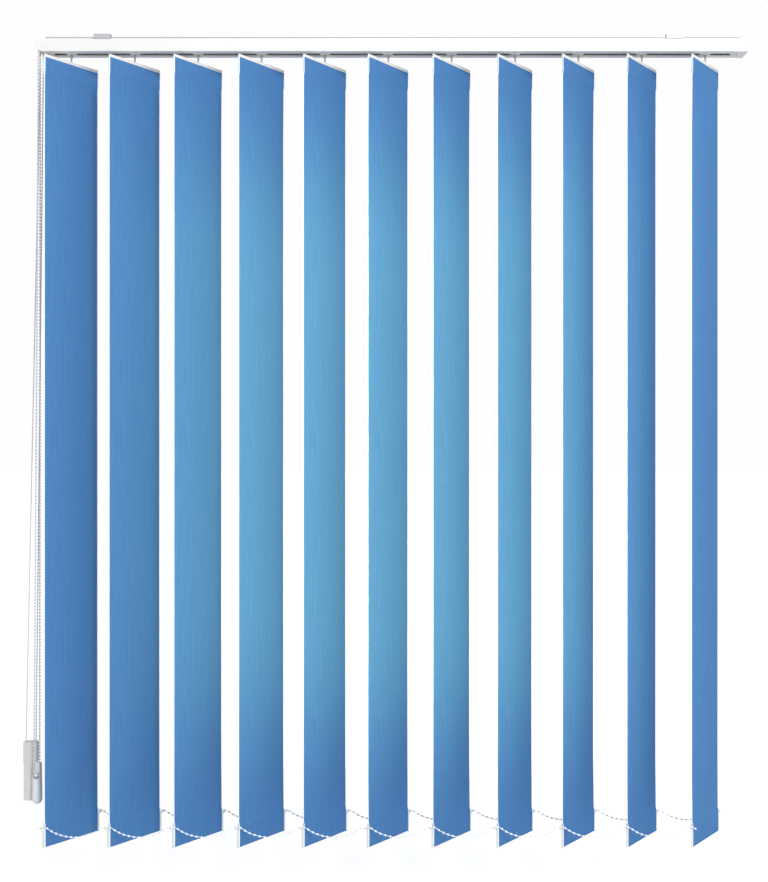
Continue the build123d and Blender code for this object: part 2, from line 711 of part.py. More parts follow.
# Bottom weight: a bar in the bottom pocket, with an end tab and a chain cradle at each side
weight_low = fabric_fold + fabric_thickness + pocket_gap
tab_inside = louvre_width / 2 + end_tab_gap
bar_end = louvre_width / 2 - weight_end_gap
chain_u = louvre_width / 2 + chain_reach
cradle_half = weight_thickness / 2
cradle_opening = ((bead_diameter / 2 + cradle_side_gap) / sin(radians(rest_angle))
                  + cradle_half / tan(radians(rest_angle)))
tab_outside = chain_u - cradle_opening
cradle_outside = chain_u + cradle_opening + cradle_wall
cradle_floor = chain_z - bead_diameter / 2 - cradle_gap
with BuildPart() as weight:
    with BuildSketch(Plane.XZ.offset(-cradle_half)) as bar:
        with Locations((0, weight_low + weight_height / 2)):
            Rectangle(2 * bar_end, weight_height)
        for side in (-1, 1):
            with BuildLine():
                Polyline((side * (bar_end - end_tab_root), weight_low),
                         (side * tab_inside, weight_low),
                         (side * tab_inside, fabric_fold - end_tab_extra),
                         (side * (tab_inside + end_tab), fabric_fold - end_tab_extra),
                         (side * (tab_inside + end_tab), cradle_floor - cradle_wall - cradle_heel),
                         (side * cradle_outside, cradle_floor - cradle_wall),
                         (side * cradle_outside, chain_z + cradle_lip),
                         (side * (cradle_outside - cradle_wall), chain_z + cradle_lip),
                         (side * (cradle_outside - cradle_wall), cradle_floor),
                         (side * tab_outside, cradle_floor),
                         (side * tab_outside, chain_z + cradle_back),
                         (side * tab_inside, chain_z + cradle_back),
                         (side * tab_inside, weight_low + weight_height),
                         (side * (bar_end - end_tab_root), weight_low + weight_height),
                         close=True)
            make_face()
    extrude(amount=2 * cradle_half)

for number, x in enumerate(pivots, 1):
    with BuildPart() as placed_worm:
        with Locations((x, rod_y, rod_z)):
            add(worm.part)
    save(placed_worm.part, f"worm_{number:02d}")
    fittings = [hook.part.solid(), hanger.part.solid(), weight.part.solid()]
    save_at(fittings, f"fittings_{number:02d}", x, rest_angle)
    save_at([louvre.part.solid()], f"louvre_{number:02d}", x, rest_angle)

# Stabilising chains: bead chains that sag from cradle to cradle on either side of the row
along, across = cos(radians(rest_angle)), sin(radians(rest_angle))
clip_slope = atan2(4 * chain_sag, louvre_pitch)
clip_rise = chain_clip_bend * (1 / cos(clip_slope) - 1)
for side, name in ((-1, "front_chain"), (1, "back_chain")):
    clips = [x + side * chain_u * along for x in pivots]
    chain_y = side * chain_u * across
    tail_z = chain_z + clip_rise - chain_tail * tan(clip_slope)
    points = [(clips[0] - chain_tail, chain_y, tail_z), (clips[0], chain_y, chain_z + clip_rise)]
    for left, right in zip(clips, clips[1:]):
        points += [(left + station * (right - left), chain_y, chain_z - share * chain_sag)
                   for station, share in sag_shape]
        points += [(right, chain_y, chain_z + clip_rise)]
    points += [(clips[-1] + chain_tail, chain_y, tail_z)]
    radii = bend_radii(points)
    radii[0::4] = [chain_clip_bend] * louvre_count
    cord_tube(points, radii, bead_diameter, name)

# Control chain: over the sprocket, down, round the post of its weight and back up
sprocket_top = rod_z + sprocket_radius
bight_bottom = chain_weight_top - chain_bight_below_top - chain_bight_radius
bight_y = chain_weight_y - chain_bight_forward
loop_radius = sprocket_radius - chain_join
bight_radius = chain_bight_radius - chain_join
control_points = [(sprocket_x, rod_y - chain_join / 2, sprocket_top),
                  (sprocket_x, rod_y - sprocket_radius, sprocket_top),
                  (chain_weight_x - chain_bight_radius, bight_y, bight_bottom),
                  (chain_weight_x + chain_bight_radius, bight_y, bight_bottom),
                  (sprocket_x, rod_y + sprocket_radius, sprocket_top),
                  (sprocket_x, rod_y + chain_join / 2, sprocket_top)]
cord_tube(control_points, [loop_radius, bight_radius, bight_radius, loop_radius],
          bead_diameter, "control_chain")

# Chain weight: a long drop with a post and an open groove that hold the bight of the chain
drop_low = chain_weight_top - chain_weight_height
bight_z = bight_bottom + chain_bight_radius
groove = bead_diameter / 2 + chain_groove_gap
with BuildPart() as chain_weight:
    with BuildSketch(Plane.XZ.offset(-chain_weight_y)):
        with BuildLine():
            foot = (chain_weight_x, drop_low)
            widest = (chain_weight_x + chain_weight_radius, drop_low + chain_weight_radius)
            brow = (chain_weight_x + chain_weight_top_radius,
                    chain_weight_top - chain_weight_brow)
            crown = (brow[0] - chain_weight_brow, chain_weight_top)
            peak = (chain_weight_x, chain_weight_top)
            RadiusArc(widest, foot, chain_weight_radius)
            Line(widest, brow)
            RadiusArc(crown, brow, chain_weight_brow)
            Line(crown, peak)
            Line(peak, foot)
        make_face()
    revolve(axis=Axis((chain_weight_x, chain_weight_y, 0), (0, 0, 1)))
    with BuildSketch(Plane.XZ.offset(-(bight_y + groove))):
        with Locations((chain_weight_x, bight_z)):
            Circle(chain_bight_radius + groove)
            Rectangle(2 * (chain_bight_radius + groove), chain_weight_height,
                      align=(Align.CENTER, Align.MIN))
            Circle(chain_bight_radius - groove, mode=Mode.SUBTRACT)
    extrude(amount=2 * chain_weight_radius, mode=Mode.SUBTRACT)
    post_height = (bight_y + groove) - (chain_weight_y - chain_post_behind)
    with BuildSketch(Plane.XZ.offset(-(bight_y + groove))):
        with Locations((chain_weight_x, bight_z)):
            Circle(chain_bight_radius - groove)
    extrude(amount=post_height)
save(chain_weight.part, "chain_weight")

# Draw cord: from the lead runner to its own weight, back along the rail and round the return
weight_low_z = weight_pulley_centre[1] - weight_pulley_radius
left_drop = upper_guide[0] - guide_radius
right_drop = lower_guide[0] - guide_radius
return_x = return_centre[0] + return_radius
lead_x = pivots[-1]
draw_points = [(lead_x - cord_anchor_gap, cord_lane_y, lower_lane_z),
               (right_drop, cord_lane_y, lower_lane_z),
               (cord_weight_x + weight_pulley_radius, cord_weight_y, weight_low_z),
               (cord_weight_x - weight_pulley_radius, cord_weight_y, weight_low_z),
               (left_drop, cord_lane_y, upper_lane_z),
               (return_x, cord_lane_y, upper_lane_z),
               (return_x, cord_lane_y, lower_lane_z),
               (lead_x + cord_anchor_gap, cord_lane_y, lower_lane_z)]
turn_radius = return_radius - cord_join
bight_turn = weight_pulley_radius - weight_bight_gap
cord_tube(draw_points, [guide_radius, bight_turn, bight_turn, guide_radius, turn_radius,
                        turn_radius], cord_diameter, "draw_cord")

# Cord weight: two shells with a collar at the top, round a pulley that the cord passes under
with BuildPart() as cord_weight:
    depth_start = -(cord_weight_y + cord_weight_depth / 2)
    for width, height, grow in ((cord_weight_width - 2 * cord_weight_step, cord_weight_height, 0),
                                (cord_weight_width, cord_weight_collar, cord_weight_step)):
        with BuildSketch(Plane.XZ.offset(depth_start - grow)) as shell:
            with Locations((cord_weight_x, cord_weight_top - height / 2)):
                RectangleRounded(width, height, cord_weight_corner)
        extrude(amount=cord_weight_depth + 2 * grow)
    pulley_chamber(*weight_pulley_centre, weight_pulley_radius, cord_weight_y, weight_pulley_face)
    throat_half = weight_pulley_radius + cord_exit
    cut_box((cord_weight_x - throat_half, cord_weight_x + throat_half),
            (cord_weight_y - cord_exit, cord_weight_y + cord_exit),
            (weight_pulley_centre[1], cord_weight_top + cut_past))
    split(bisect_by=Plane.XZ.offset(-cord_weight_y), keep=Keep.BOTH)
save(Compound(children=list(cord_weight.part.solids())), "cord_weight")
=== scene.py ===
# %% [markdown]
# # A vertical blind in Blender
# A headrail fixed to the ceiling carries eleven fabric louvres on runners. A draw cord pulls the
# runners along the rail and a bead chain turns them all at once. The hard parts come finished
# from the CAD frame, so this lesson gives them their surfaces and makes everything that is soft:
# the louvres, the braided cord and the four runs of bead chain.

# %% Load the fixed frame
import json
import random
from math import radians, tau

import bpy
from mathutils import Matrix, Vector


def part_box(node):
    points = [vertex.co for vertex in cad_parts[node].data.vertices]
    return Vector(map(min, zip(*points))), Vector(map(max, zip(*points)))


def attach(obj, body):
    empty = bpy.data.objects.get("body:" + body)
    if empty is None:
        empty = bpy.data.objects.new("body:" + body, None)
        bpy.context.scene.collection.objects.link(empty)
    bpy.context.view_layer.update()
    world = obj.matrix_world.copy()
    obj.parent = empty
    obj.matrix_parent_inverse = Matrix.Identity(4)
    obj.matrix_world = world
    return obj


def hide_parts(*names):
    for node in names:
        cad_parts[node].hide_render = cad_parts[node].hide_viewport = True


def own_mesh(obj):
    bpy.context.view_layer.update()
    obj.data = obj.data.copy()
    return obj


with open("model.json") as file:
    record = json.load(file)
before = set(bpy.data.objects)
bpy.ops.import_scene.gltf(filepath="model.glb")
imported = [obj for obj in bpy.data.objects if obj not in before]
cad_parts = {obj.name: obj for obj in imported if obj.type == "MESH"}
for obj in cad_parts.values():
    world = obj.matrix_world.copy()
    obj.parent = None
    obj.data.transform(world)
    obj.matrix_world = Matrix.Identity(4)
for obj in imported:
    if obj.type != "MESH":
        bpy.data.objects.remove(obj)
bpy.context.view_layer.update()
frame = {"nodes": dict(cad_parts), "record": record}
mm = 0.001

# %% [markdown]
# ## Sizes that the soft pieces share
# The louvres hang at a pitch of 115 mm, 127 mm wide and turned by 55 degrees. Their top and
# bottom are read from the frame, so that a louvre made here meets its hanger and its bottom weight.

# %% Sizes of the row
louvre_count = 11
louvre_pitch = 115 * mm
louvre_width = 127 * mm
rest_turn = radians(55)
cloth_thickness = 0.5 * mm
pivots = [(number - (louvre_count - 1) / 2) * louvre_pitch for number in range(louvre_count)]
names = [f"{number:02d}" for number in range(1, louvre_count + 1)]
louvre_low, louvre_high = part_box("louvre_01")
print("louvre drop:", round(louvre_high.z - louvre_low.z, 4), "m")


# %% [markdown]
# ## Three helpers for materials
# Colours are written as the hex values that a paint chart shows, and Blender works in linear
# light, so one function turns the first into the second. Another adds a node, sets it up and
# joins it to the nodes before it, which keeps each finish down to one line for each step. The
# third starts a material with its shader.

# %% Colour and node helpers
def colour(hex_value):
    """A linear RGBA colour from an sRGB hex value."""
    channels = [int(hex_value[i:i + 2], 16) / 255 for i in (1, 3, 5)]
    linear = [c / 12.92 if c <= 0.04045 else ((c + 0.055) / 1.055) ** 2.4 for c in channels]
    return (*linear, 1.0)


def add_node(tree, kind, settings=None, links=None):
    """A new node with its settings: an attribute by its name, a socket's value by name or number."""
    node = tree.nodes.new(kind)
    for key, value in (settings or {}).items():
        if isinstance(key, str) and hasattr(node, key):
            setattr(node, key, value)
        else:
            node.inputs[key].default_value = value
    for key, socket in (links or {}).items():
        tree.links.new(socket, node.inputs[key])
    return node


def new_material(name, base, **surface):
    """A material with one Principled shader, and its node tree and shader."""
    material = bpy.data.materials.new(name)
    material.use_nodes = True
    tree = material.node_tree
    tree.nodes.clear()
    settings = {"Base Color": colour(base)}
    settings.update({key.replace("_", " ").title().replace("Ior", "IOR"): value
                     for key, value in surface.items()})
    shader = add_node(tree, "ShaderNodeBsdfPrincipled")
    for key, value in settings.items():
        shader.inputs[key].default_value = value
    add_node(tree, "ShaderNodeOutputMaterial", links={"Surface": shader.outputs["BSDF"]})
    return material, tree, shader


# %% [markdown]
# ## Powder-coated aluminium
# The headrail is an aluminium extrusion with a baked white powder coat. Baked powder flows into
# a very faint orange peel, about 2 mm across, and is a satin white rather than a gloss one.

# %% Headrail finish
def powder_coat():
    """Baked powder: orange peel in the bump, and a sheen that changes in wide patches."""
    material, tree, shader = new_material(
        "powder_coated_aluminium", "#D6D6D5", roughness=0.38, ior=1.5)
    place = add_node(tree, "ShaderNodeTexCoord")
    peel = add_node(tree, "ShaderNodeTexNoise", {"Scale": 1 / (2.2 * mm), "Detail": 2.0},
                    {"Vector": place.outputs["Object"]})
    patches = add_node(tree, "ShaderNodeTexNoise", {"Scale": 1 / (90 * mm), "Detail": 3.0},
                       {"Vector": place.outputs["Object"]})
    sheen = add_node(tree, "ShaderNodeMapRange", {"To Min": 0.32, "To Max": 0.44},
                     {"Value": patches.outputs["Fac"]})
    bump = add_node(tree, "ShaderNodeBump", {"Strength": 0.25, "Distance": 0.03 * mm},
                    {"Height": peel.outputs["Fac"]})
    tree.links.new(sheen.outputs["Result"], shader.inputs["Roughness"])
    tree.links.new(bump.outputs["Normal"], shader.inputs["Normal"])
    return material


# %% [markdown]
# ## Moulded plastics
# The end fittings, hooks, hangers, bottom weights and runners are injection moulded. Acetal and
# ABS leave the tool with a spark-eroded skin of grains about 0.4 mm wide, which catches the
# light as a soft sheen. The grains are drawn at 0.9 mm here, so that they can be seen at all.
# Each plastic differs in its white, its gloss and how far light sinks into it. A node can take a
# second, darker colour for everything above one level: painted shade.

# %% Plastic finishes
def moulded_plastic(name, base, tint, gloss, depth, grain=0.9 * mm, upper=None, upper_foot=0.0):
    """A plastic that clouds from base to tint, with the upper colour, a painted shade, above the
    level upper_foot.
    """
    material, tree, shader = new_material(
        name, base, roughness=gloss, ior=1.48, subsurface_weight=depth,
        subsurface_scale=1.5 * mm)
    place = add_node(tree, "ShaderNodeTexCoord")
    flow = add_node(tree, "ShaderNodeTexNoise", {"Scale": 1 / (14 * mm), "Detail": 2.0},
                    {"Vector": place.outputs["Object"]})
    body = add_node(tree, "ShaderNodeMix", {"data_type": "RGBA"},
                    {"Factor": flow.outputs["Fac"]})
    body.inputs[6].default_value = colour(base)
    body.inputs[7].default_value = colour(tint)
    skin = add_node(tree, "ShaderNodeTexNoise", {"Scale": 1 / grain, "Detail": 1.0},
                    {"Vector": place.outputs["Object"]})
    sheen = add_node(tree, "ShaderNodeMapRange", {"To Min": gloss - 0.06, "To Max": gloss + 0.08},
                     {"Value": skin.outputs["Fac"]})
    bump = add_node(tree, "ShaderNodeBump", {"Strength": 0.2, "Distance": 0.02 * mm},
                    {"Height": skin.outputs["Fac"]})
    # Painted shade: everything above upper_foot takes the darker upper colour.
    if upper:
        height = add_node(tree, "ShaderNodeSeparateXYZ", links={"Vector": place.outputs["Object"]})
        above = add_node(tree, "ShaderNodeMath", {"operation": "GREATER_THAN", 1: upper_foot},
                         {0: height.outputs["Z"]})
        body = add_node(tree, "ShaderNodeMix", {"data_type": "RGBA"},
                        {"Factor": above.outputs["Value"], 6: body.outputs[2]})
        body.inputs[7].default_value = colour(upper)
    tree.links.new(body.outputs[2], shader.inputs["Base Color"])
    tree.links.new(sheen.outputs["Result"], shader.inputs["Roughness"])
    tree.links.new(bump.outputs["Normal"], shader.inputs["Normal"])
    return material


# %% [markdown]
# ## Metals
# The tilt rod is drawn aluminium: the die leaves hair lines along its length, so its noise is
# stretched along X. The ceiling clips are spring steel with a dull zinc plating, which is
# faintly cloudy. Both are full metals, and a metal keeps the default IOR.

# %% Metal finishes
def bare_metal(name, base, gloss, grain, stretch):
    """A full metal whose grain is stretched this many times along X."""
    material, tree, shader = new_material(name, base, metallic=1.0, roughness=gloss)
    place = add_node(tree, "ShaderNodeTexCoord")
    drawn = add_node(tree, "ShaderNodeMapping", {"Scale": (1 / stretch, 1.0, 1.0)},
                     {"Vector": place.outputs["Object"]})
    lines = add_node(tree, "ShaderNodeTexNoise", {"Scale": 1 / grain, "Detail": 3.0},
                     {"Vector": drawn.outputs["Vector"]})
    sheen = add_node(tree, "ShaderNodeMapRange", {"To Min": gloss - 0.08, "To Max": gloss + 0.12},
                     {"Value": lines.outputs["Fac"]})
    bump = add_node(tree, "ShaderNodeBump", {"Strength": 0.15, "Distance": 0.01 * mm},
                    {"Height": lines.outputs["Fac"]})
    tree.links.new(sheen.outputs["Result"], shader.inputs["Roughness"])
    tree.links.new(bump.outputs["Normal"], shader.inputs["Normal"])
    return material


# %% [markdown]
# ## Woven louvre fabric
# The louvres are a plain-woven polyester, starched stiff and slit to 127 mm. Slubs in the warp
# show as long faint streaks down the cloth. The slit edges are sealed with heat, and a pale line
# is painted along each long edge: a painted highlight, the light caught by the cut edge. The warp
# and weft of the real cloth are 0.4 mm apart; they are drawn at 1.4 mm here, because finer threads
# would never show. The cloth's own UV map says how far across and along it each point is, so the
# threads follow the cloth wherever it bends.

# %% Fabric finish
def woven_polyester(cut_length, highlight_width, thread):
    """Plain weave with slubs along the warp, and a pale line along both edges that is a painted
    highlight.
    """
    slub_width, slub_stretch = 2.6 * mm, 0.012
    highlight_blur = 0.003
    material, tree, shader = new_material(
        "woven_polyester", "#4877AB", roughness=0.85, ior=1.45, specular_ior_level=0.15)
    cloth = add_node(tree, "ShaderNodeUVMap", {"uv_map": "UVMap"})
    size = add_node(tree, "ShaderNodeMapping", {"Scale": (louvre_width, cut_length, 1.0)},
                    {"Vector": cloth.outputs["UV"]})
    slub_size = add_node(tree, "ShaderNodeMapping", {"Scale": (1.0, slub_stretch, 1.0)},
                         {"Vector": size.outputs["Vector"]})
    slubs = add_node(tree, "ShaderNodeTexNoise", {"Scale": 1 / slub_width, "Detail": 3.0},
                     {"Vector": slub_size.outputs["Vector"]})
    shades = add_node(tree, "ShaderNodeValToRGB", links={"Fac": slubs.outputs["Fac"]})
    shades.color_ramp.elements[0].position = 0.3
    shades.color_ramp.elements[0].color = colour("#4474A8")
    shades.color_ramp.elements[1].position = 0.72
    shades.color_ramp.elements[1].color = colour("#4D7CB1")
    wave_scale = tau / 20  # the Wave texture has one band in this length at a scale of 1
    warp = add_node(tree, "ShaderNodeTexWave",
                    {"bands_direction": "X", "Scale": wave_scale / thread, "Distortion": 0.4},
                    {"Vector": size.outputs["Vector"]})
    weft = add_node(tree, "ShaderNodeTexWave",
                    {"bands_direction": "Y", "Scale": wave_scale / thread, "Distortion": 0.4},
                    {"Vector": size.outputs["Vector"]})
    weave = add_node(tree, "ShaderNodeMath", {"operation": "MAXIMUM"},
                     {0: warp.outputs["Fac"], 1: weft.outputs["Fac"]})
    across = add_node(tree, "ShaderNodeSeparateXYZ", links={"Vector": cloth.outputs["UV"]})
    middle = add_node(tree, "ShaderNodeMath", {"operation": "SUBTRACT", 1: 0.5},
                      {0: across.outputs["X"]})
    apart = add_node(tree, "ShaderNodeMath", {"operation": "ABSOLUTE"},
                     {0: middle.outputs["Value"]})
    # Painted highlight: a pale line of this width is painted along each long edge.
    line = 0.5 - highlight_width / louvre_width
    highlight_band = add_node(tree, "ShaderNodeMapRange",
                      {"From Min": line - highlight_blur, "From Max": line + highlight_blur},
                      {"Value": apart.outputs["Value"]})
    edge = add_node(tree, "ShaderNodeMix", {"data_type": "RGBA"},
                    {"Factor": highlight_band.outputs["Result"], 6: shades.outputs["Color"]})
    # The pale colour of the painted edge highlight.
    edge.inputs[7].default_value = colour("#E9F2FB")
    bump = add_node(tree, "ShaderNodeBump", {"Strength": 0.35, "Distance": 0.06 * mm},
                    {"Height": weave.outputs["Value"]})
    tree.links.new(edge.outputs[2], shader.inputs["Base Color"])
    tree.links.new(bump.outputs["Normal"], shader.inputs["Normal"])
    return material


# %% [markdown]
# ## Braided cord
# The draw cord is a 2 mm polyester braid. Its yarns run round it in two crossing spirals, so the
# bump is a pair of waves that lean one way and the other on the cord's own UV map. The same waves
# paint the grooves between the yarns darker: painted shade.

# %% Cord finish
def braided_polyester(yarn):
    """Yarns of this width that run round the cord in two crossing spirals."""
    material, tree, shader = new_material(
        "braided_polyester", "#ECECEA", roughness=0.7, ior=1.45, sheen_weight=0.2)
    run = add_node(tree, "ShaderNodeUVMap", {"uv_map": "UVMap"})
    spirals = []
    for lean in (1, -1):
        size = add_node(tree, "ShaderNodeMapping",
                        {"Scale": (1 / yarn, 1.0, 1.0), "Rotation": (0, 0, lean * radians(35))},
                        {"Vector": run.outputs["UV"]})
        spirals.append(add_node(tree, "ShaderNodeTexWave", {"bands_direction": "X", "Scale": 0.3},
                                {"Vector": size.outputs["Vector"]}))
    braid = add_node(tree, "ShaderNodeMath", {"operation": "MAXIMUM"},
                     {0: spirals[0].outputs["Fac"], 1: spirals[1].outputs["Fac"]})
    # Painted shade: the grooves between the yarns, where the waves are low, are painted darker.
    shade = add_node(tree, "ShaderNodeMix", {"data_type": "RGBA"},
                     {"Factor": braid.outputs["Value"]})
    shade.inputs[6].default_value = colour("#A9A9A8")
    shade.inputs[7].default_value = colour("#D4D4D2")
    bump = add_node(tree, "ShaderNodeBump", {"Strength": 0.5, "Distance": 0.1 * mm},
                    {"Height": braid.outputs["Value"]})
    tree.links.new(shade.outputs[2], shader.inputs["Base Color"])
    tree.links.new(bump.outputs["Normal"], shader.inputs["Normal"])
    return material


# %% [markdown]
# ## Every finish by its slot
# The record names one slot for each finish, and each CAD node is painted by its own slot. The
# beads of the bottom chains are painted a little bluer than white: painted light, the colour of the
# cloth behind them showing through the clear beads. The control chain is painted greyer: painted
# shade. Its weight is moulded of the same white plastic as the end fittings. A hook, its hanger and
# the bottom weight share one node, so that node's plastic changes from the weight's white to a
# darker grey just above the hanger's spine: painted shade, where the hook hangs under the rail.

# %% Make the finishes
# Width of the painted highlight along each long edge of a louvre.
edge_highlight_width = 1.9 * mm
drawn_thread = 1.4 * mm
braid_yarn = 0.5 * mm
spine_height = 5 * mm
cloth_drop = louvre_high.z - louvre_low.z
finishes = {
    "rail_paint": powder_coat(),
    "clip_steel": bare_metal("zinc_plated_steel", "#B4B6B9", 0.62, 1.2 * mm, 1.0),
    "rod_aluminium": bare_metal("drawn_aluminium", "#C8CACC", 0.3, 0.5 * mm, 40.0),
    "fitting_plastic": moulded_plastic(
        "moulded_abs", "#DADADA", "#D4D4D4", 0.4, 0.04),
    "runner_plastic": moulded_plastic(
        "moulded_acetal", "#DCDCD8", "#D2D2CC", 0.32, 0.1),
    "weight_plastic": moulded_plastic(
        "polished_abs", "#C9C9C8", "#BFBFBE", 0.24, 0.04, 1.6 * mm),
    # Painted light: the beads are tinted a little blue, the cloth's colour showing through the clear
    # beads.
    "bead_plastic": moulded_plastic(
        "moulded_polypropylene", "#E9EEF2", "#E1E8EE", 0.3, 0.1),
    # The control chain's beads are painted greyer than the bottom chains' beads: painted shade.
    "control_beads_shaded": moulded_plastic(
        "polypropylene_painted_shade", "#D2D3D4", "#C9CACB", 0.3, 0.1),
    "louvre_fabric": woven_polyester(cloth_drop, edge_highlight_width, drawn_thread),
    "cord_polyester": braided_polyester(braid_yarn),
}
# Painted shade: the hooks are painted darker grey above the hanger's spine, where they hang in the
# shade under the rail.
fittings_finish_with_shaded_hooks = moulded_plastic(
    "moulded_abs_shaded_hooks", "#DEDEDC", "#D6D6D3", 0.4, 0.04, upper="#9C9D9C",
    upper_foot=louvre_high.z + spine_height + 0.1 * mm)
slots = {part["node"]: part.get("material_slot") for part in frame["record"]["subparts"]}
for node_name, cad_object in frame["nodes"].items():
    finish = finishes[slots[node_name]]
    if not cad_object.data.materials:
        cad_object.data.materials.append(finish)
    for material_slot in cad_object.material_slots:
        material_slot.material = finish
        if node_name.startswith("fittings_"):
            material_slot.material = fittings_finish_with_shaded_hooks
        if node_name == "chain_weight":
            material_slot.material = finishes["fitting_plastic"]
print("finishes:", ", ".join(finishes))


# %% [markdown]
# ## Geometry Nodes trees
# Whatever repeats is made by a small Geometry Nodes tree with named inputs. A modifier's input is
# set by its socket's identifier. The finished tree is read out as a plain mesh, and the modifier
# goes away with the object that carried it, because a piece that rides on a body is plain mesh.

# %% Tree helpers
def new_tree(name, inputs):
    """A geometry tree with named inputs, its input node, and a call that closes it."""
    tree = bpy.data.node_groups.new(name, "GeometryNodeTree")
    for label, kind in inputs.items():
        tree.interface.new_socket(label, in_out="INPUT", socket_type="NodeSocket" + kind)
    tree.interface.new_socket("Geometry", in_out="OUTPUT", socket_type="NodeSocketGeometry")
    given = tree.nodes.new("NodeGroupInput").outputs

    def finish(parts):
        joined = add_node(tree, "GeometryNodeJoinGeometry")
        for part in parts:
            tree.links.new(part, joined.inputs["Geometry"])
        real = add_node(tree, "GeometryNodeRealizeInstances",
                        links={"Geometry": joined.outputs["Geometry"]})
        smooth = add_node(tree, "GeometryNodeSetShadeSmooth",
                          links={"Geometry": real.outputs["Geometry"]})
        painted = add_node(tree, "GeometryNodeSetMaterial",
                           links={"Geometry": smooth.outputs["Geometry"],
                                  "Material": given["Material"]})
        add_node(tree, "NodeGroupOutput", links={"Geometry": painted.outputs["Geometry"]})

    return tree, given, finish


def mesh_from_tree(name, tree, values):
    """The plain mesh object that a tree makes with these values for its named inputs."""
    carrier = bpy.data.objects.new(name + "_carrier", bpy.data.meshes.new(name + "_carrier"))
    bpy.context.scene.collection.objects.link(carrier)
    modifier = carrier.modifiers.new("tree", "NODES")
    modifier.node_group = tree
    identifiers = {socket.name: socket.identifier for socket in tree.interface.items_tree
                   if socket.in_out == "INPUT"}
    for label, value in values.items():
        modifier[identifiers[label]] = value
    bpy.context.view_layer.update()
    view = bpy.context.evaluated_depsgraph_get()
    made = bpy.data.meshes.new_from_object(carrier.evaluated_get(view), depsgraph=view)
    bpy.data.objects.remove(carrier)
    piece = bpy.data.objects.new(name, made)
    bpy.context.scene.collection.objects.link(piece)
    return piece


# %% [markdown]
# ## Routes of the cords
# A cord is a fixed length of something limp, so each one follows a single smooth NURBS spline.
# The control points are where the cord leaves a pulley, turns round a weight or rests in a clip.
# The order is set to 3 after the points are added, because set before, it stays at 2 and the
# curve is a chain of straight runs.

# %% Route helper
def new_route(name, points, resolution=24):
    """A curve of one open NURBS spline with these control points, and the points it runs through."""
    curve = bpy.data.curves.new(name, "CURVE")
    curve.dimensions = "3D"
    spline = curve.splines.new("NURBS")
    spline.points.add(len(points) - 1)
    for control, place in zip(spline.points, points):
        control.co = (*(size * mm for size in place), 1.0)
    spline.order_u = 3
    spline.use_endpoint_u = True
    spline.resolution_u = resolution
    route = bpy.data.objects.new(name, curve)
    bpy.context.scene.collection.objects.link(route)
    route.hide_render = True
    bpy.context.view_layer.update()
    view = bpy.context.evaluated_depsgraph_get()
    line = bpy.data.meshes.new_from_object(route.evaluated_get(view), depsgraph=view)
    path = [tuple(vertex.co) for vertex in line.vertices]
    bpy.data.meshes.remove(line)
    return route, path


def run_length(path):
    """The length of a line of points."""
    return sum((Vector(a) - Vector(b)).length for a, b in zip(path, path[1:]))


# %% [markdown]
# ## Bead chain
# Beads are moulded onto a thin thread at an even pitch. The tree walks along the route, drops a
# bead at each pitch and sweeps a thin circle for the thread between them.

# %% Bead chain tree
def bead_chain_tree():
    tree, given, finish = new_tree("bead_chain", {
        "Route": "Object", "Bead Pitch": "Float", "Bead Radius": "Float",
        "Thread Radius": "Float", "Material": "Material"})
    route = add_node(tree, "GeometryNodeObjectInfo", links={"Object": given["Route"]})
    places = add_node(tree, "GeometryNodeCurveToPoints", {"mode": "LENGTH"},
                      {"Curve": route.outputs["Geometry"], "Length": given["Bead Pitch"]})
    bead = add_node(tree, "GeometryNodeMeshUVSphere", {"Segments": 10, "Rings": 6},
                    {"Radius": given["Bead Radius"]})
    beads = add_node(tree, "GeometryNodeInstanceOnPoints",
                     links={"Points": places.outputs["Points"],
                            "Instance": bead.outputs["Mesh"],
                            "Rotation": places.outputs["Rotation"]})
    ring = add_node(tree, "GeometryNodeCurvePrimitiveCircle", {"Resolution": 6},
                    {"Radius": given["Thread Radius"]})
    thread = add_node(tree, "GeometryNodeCurveToMesh",
                      links={"Curve": route.outputs["Geometry"],
                             "Profile Curve": ring.outputs["Curve"]})
    thread.inputs["Fill Caps"].default_value = True
    finish([beads.outputs["Instances"], thread.outputs["Mesh"]])
    return tree


chain_tree = bead_chain_tree()

# %% [markdown]
# ## Control chain
# The chain that turns the louvres goes over its sprocket in the control end, down through the
# opening below it, round the post of its weight and back up. It is one closed loop of 6 mm
# pitch, so its two ends meet at the top of the sprocket.

# %% Control chain
chain_bead = 4.0 * mm
chain_thread = 1.2 * mm
control_pitch = 6.0 * mm
control_route, control_path = new_route("control_chain_route", [
    (-630.5, -10.65, -11.77), (-630.5, -16.33, -11.77), (-630.7, -16.2, -36), (-640.5, -9.1, -1317),
    (-641.1, -9, -1341.6), (-630.3, -9, -1341.6), (-630.7, -9, -1317), (-630.5, -4.9, -36),
    (-630.5, -4.87, -11.77), (-630.5, -10.55, -11.77)])
control_chain = mesh_from_tree("control_bead_chain", chain_tree, {
    "Route": control_route, "Bead Pitch": control_pitch, "Bead Radius": chain_bead / 2,
    "Thread Radius": chain_thread / 2, "Material": finishes["control_beads_shaded"]})
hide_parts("control_chain")
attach(control_chain, "headrail_assembly")
print("control chain:", round(run_length(control_path), 3), "m")

# %% [markdown]
# ## Bottom chains
# A chain joins the front edges of the louvres and another the back edges. Each hangs from clip
# to clip in shallow bows 18 mm deep. The points are the clips and three more for each bow. When
# the real blind is drawn back the clips come together, so its chain flattens towards the first
# one; the chain made here keeps the bows of the open blind.

# %% Bottom chains
clip_overhang = 4.4 * mm
clip_reach = (louvre_width / 2 + clip_overhang) / mm
clip_level = -1417.3
chain_bow = 18.3
clip_lift = 4.15
bow_shape = ((0.2, 0.68), (0.5, 1.1), (0.8, 0.68))
tail_reach, tail_drop = 8, 2.9
bottom_pitch = 9.1 * mm


